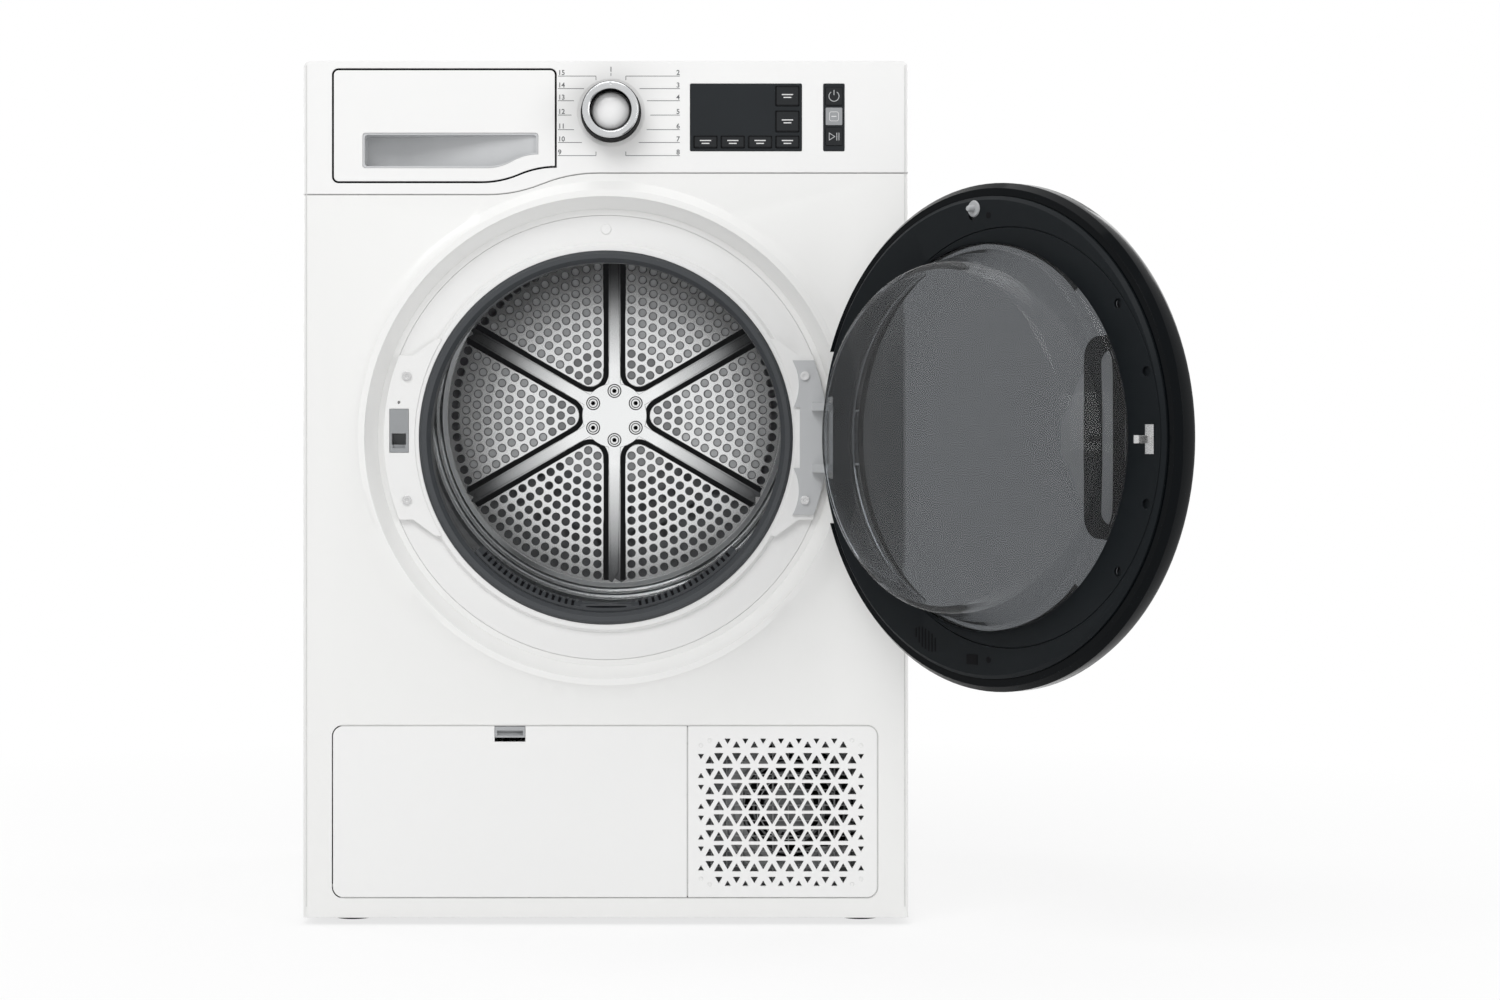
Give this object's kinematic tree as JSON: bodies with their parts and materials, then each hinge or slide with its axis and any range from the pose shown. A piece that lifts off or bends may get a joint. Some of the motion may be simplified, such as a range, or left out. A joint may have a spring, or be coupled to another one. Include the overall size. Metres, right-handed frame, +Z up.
{
  "type": "clothes dryer",
  "caption": "Front-loading heat-pump clothes dryer with its round door open, perforated steel drum, water tank drawer, programme knob, touch keys, service flap and vent grille.",
  "frame": {"origin": "on the floor, under the middle of the cabinet, centred between the front panel and the back of the rear duct", "axes": "+X to the right as seen from the front, +Y to the back, +Z up; the front faces -Y"},
  "size_m": [0.8126, 0.9901, 0.849],
  "materials": {
    "white_paint": "satin",
    "white_plastic": "semi-gloss",
    "worktop_board": "satin",
    "zinc_sheet": "matt",
    "drum_steel": "brushed",
    "bright_steel": "bright",
    "hinge_steel": "satin",
    "chrome_ring": "satin chrome",
    "exchanger_fins": "matt",
    "black_enamel": "semi-gloss",
    "motor_paint": "matt",
    "belt_rubber": "matt",
    "roller_rubber": "matt",
    "foot_rubber": "matt",
    "ring_plastic": "matt",
    "filter_plastic": "matt",
    "mesh_cloth": "fine mesh",
    "base_plastic": "matt",
    "grey_plastic": "satin",
    "tank_plastic": "translucent",
    "lifter_plastic": "satin",
    "black_gloss": "high gloss",
    "key_black": "gloss",
    "key_grey": "satin",
    "black_plastic": "satin",
    "door_grey": "satin",
    "smoked_clear": "clear, lightly smoked"
  },
  "bodies": {
    "cabinet": {"side_panel_left": "white_paint", "side_panel_right": "white_paint", "worktop": "worktop_board", "front_panel": "white_paint", "control_fascia": "white_plastic", "front_bulkhead": "white_plastic", "loading_ring": "ring_plastic", "filter_housing": "filter_plastic", "rear_panel": "zinc_sheet", "rear_duct_cover": "zinc_sheet", "base_tray": "base_plastic", "levelling_feet": "foot_rubber", "vent_grille": "white_plastic", "heat_exchangers": "exchanger_fins", "compressor": "black_enamel", "drive_motor": "motor_paint", "drive_belt": "belt_rubber", "tank_housing": "tank_plastic", "display_unit": "black_gloss", "latch_housing": "grey_plastic", "hinge_plate": "hinge_steel", "front_screws": "bright_steel", "mains_inlet": "black_plastic", "condensate_pump": "base_plastic"},
    "drum": {"drum_shell": "drum_steel", "drum_back": "drum_steel", "drum_lifters": "lifter_plastic", "hub_bolts": "bright_steel"},
    "rotor": {"motor_rotor": "bright_steel", "process_impeller": "base_plastic"},
    "idler": {"idler_pulley": "black_plastic"},
    "roller_left": {"support_roller_left": "roller_rubber"},
    "roller_right": {"support_roller_right": "roller_rubber"},
    "fan": {"cooling_fan": "black_plastic"},
    "knob": {"knob_base": "black_gloss", "knob_ring": "chrome_ring", "knob_cap": "white_plastic"},
    "option_1": {"option_key_1": "key_black"},
    "option_2": {"option_key_2": "key_black"},
    "option_3": {"option_key_3": "key_black"},
    "option_4": {"option_key_4": "key_black"},
    "option_5": {"option_key_5": "key_black"},
    "option_6": {"option_key_6": "key_black"},
    "power": {"power_key": "key_black"},
    "mode": {"mode_key": "key_grey"},
    "start": {"start_key": "key_black"},
    "tank": {"tank_front": "white_plastic", "tank_grip": "grey_plastic", "tank_body": "tank_plastic"},
    "filter": {"lint_filter": "filter_plastic", "filter_mesh": "mesh_cloth"},
    "service_flap": {"flap": "white_plastic"},
    "catch": {"flap_catch": "white_plastic"},
    "door": {"door_rim": "black_gloss", "door_glass": "black_gloss", "door_frame": "door_grey", "door_bowl": "smoked_clear", "door_handle": "black_gloss", "hinge_leaf": "hinge_steel", "striker": "bright_steel"}
  },
  "joints": [
    {"name": "drum_spin", "type": "hinge", "parent": "cabinet", "child": "drum", "pos_m": [0, 0, 0.504], "axis": [0, 1, 0], "continuous": true},
    {"name": "rotor_spin", "type": "hinge", "parent": "cabinet", "child": "rotor", "pos_m": [0.165, 0, 0.128], "axis": [0, 1, 0], "continuous": true},
    {"name": "idler_spin", "type": "hinge", "parent": "cabinet", "child": "idler", "pos_m": [0.10357, -0.062, 0.1617], "axis": [0, 1, 0], "continuous": true},
    {"name": "roller_left_spin", "type": "hinge", "parent": "cabinet", "child": "roller_left", "pos_m": [-0.15065, -0.198, 0.24307], "axis": [0, 1, 0], "continuous": true},
    {"name": "roller_right_spin", "type": "hinge", "parent": "cabinet", "child": "roller_right", "pos_m": [0.15065, -0.198, 0.24307], "axis": [0, 1, 0], "continuous": true},
    {"name": "fan_spin", "type": "hinge", "parent": "cabinet", "child": "fan", "pos_m": [0.181, -0.26, 0.1126], "axis": [0, 1, 0], "continuous": true},
    {"name": "knob_turn", "type": "hinge", "parent": "cabinet", "child": "knob", "pos_m": [0.0052, -0.305, 0.7976], "axis": [0, 1, 0], "continuous": true},
    {"name": "option_1_press", "type": "slide", "parent": "cabinet", "child": "option_1", "axis": [0, 1, 0], "range_m": [0, 0.0008], "stiffness_N_per_m": 600},
    {"name": "option_2_press", "type": "slide", "parent": "cabinet", "child": "option_2", "axis": [0, 1, 0], "range_m": [0, 0.0008], "stiffness_N_per_m": 600},
    {"name": "option_3_press", "type": "slide", "parent": "cabinet", "child": "option_3", "axis": [0, 1, 0], "range_m": [0, 0.0008], "stiffness_N_per_m": 600},
    {"name": "option_4_press", "type": "slide", "parent": "cabinet", "child": "option_4", "axis": [0, 1, 0], "range_m": [0, 0.0008], "stiffness_N_per_m": 600},
    {"name": "option_5_press", "type": "slide", "parent": "cabinet", "child": "option_5", "axis": [0, 1, 0], "range_m": [0, 0.0008], "stiffness_N_per_m": 600},
    {"name": "option_6_press", "type": "slide", "parent": "cabinet", "child": "option_6", "axis": [0, 1, 0], "range_m": [0, 0.0008], "stiffness_N_per_m": 600},
    {"name": "power_press", "type": "slide", "parent": "cabinet", "child": "power", "axis": [0, 1, 0], "range_m": [0, 0.0008], "stiffness_N_per_m": 600},
    {"name": "mode_press", "type": "slide", "parent": "cabinet", "child": "mode", "axis": [0, 1, 0], "range_m": [0, 0.0008], "stiffness_N_per_m": 600},
    {"name": "start_press", "type": "slide", "parent": "cabinet", "child": "start", "axis": [0, 1, 0], "range_m": [0, 0.0008], "stiffness_N_per_m": 600},
    {"name": "tank_slide", "type": "slide", "parent": "cabinet", "child": "tank", "axis": [0, -1, 0], "range_m": [0, 0.43]},
    {"name": "filter_lift", "type": "slide", "parent": "cabinet", "child": "filter", "axis": [0, 0, 1], "range_m": [0, 0.12]},
    {"name": "flap_hinge", "type": "hinge", "parent": "cabinet", "child": "service_flap", "pos_m": [-0.0935, -0.3, 0.0378], "axis": [1, 0, 0], "range_deg": [0, 95]},
    {"name": "catch_slide", "type": "slide", "parent": "service_flap", "child": "catch", "axis": [0, 0, -1], "range_m": [0, 0.004], "stiffness_N_per_m": 500},
    {"name": "door_hinge", "type": "hinge", "parent": "cabinet", "child": "door", "pos_m": [0.225, -0.321, 0.4785], "axis": [0, 0, 1], "range_deg": [-129, 10]}
  ],
  "couplings": [
    {"joint": "rotor_spin", "follows": "drum_spin", "ratio": 20.85},
    {"joint": "idler_spin", "follows": "drum_spin", "ratio": 18.42},
    {"joint": "roller_left_spin", "follows": "drum_spin", "ratio": -11.04},
    {"joint": "roller_right_spin", "follows": "drum_spin", "ratio": -11.04}
  ]
}
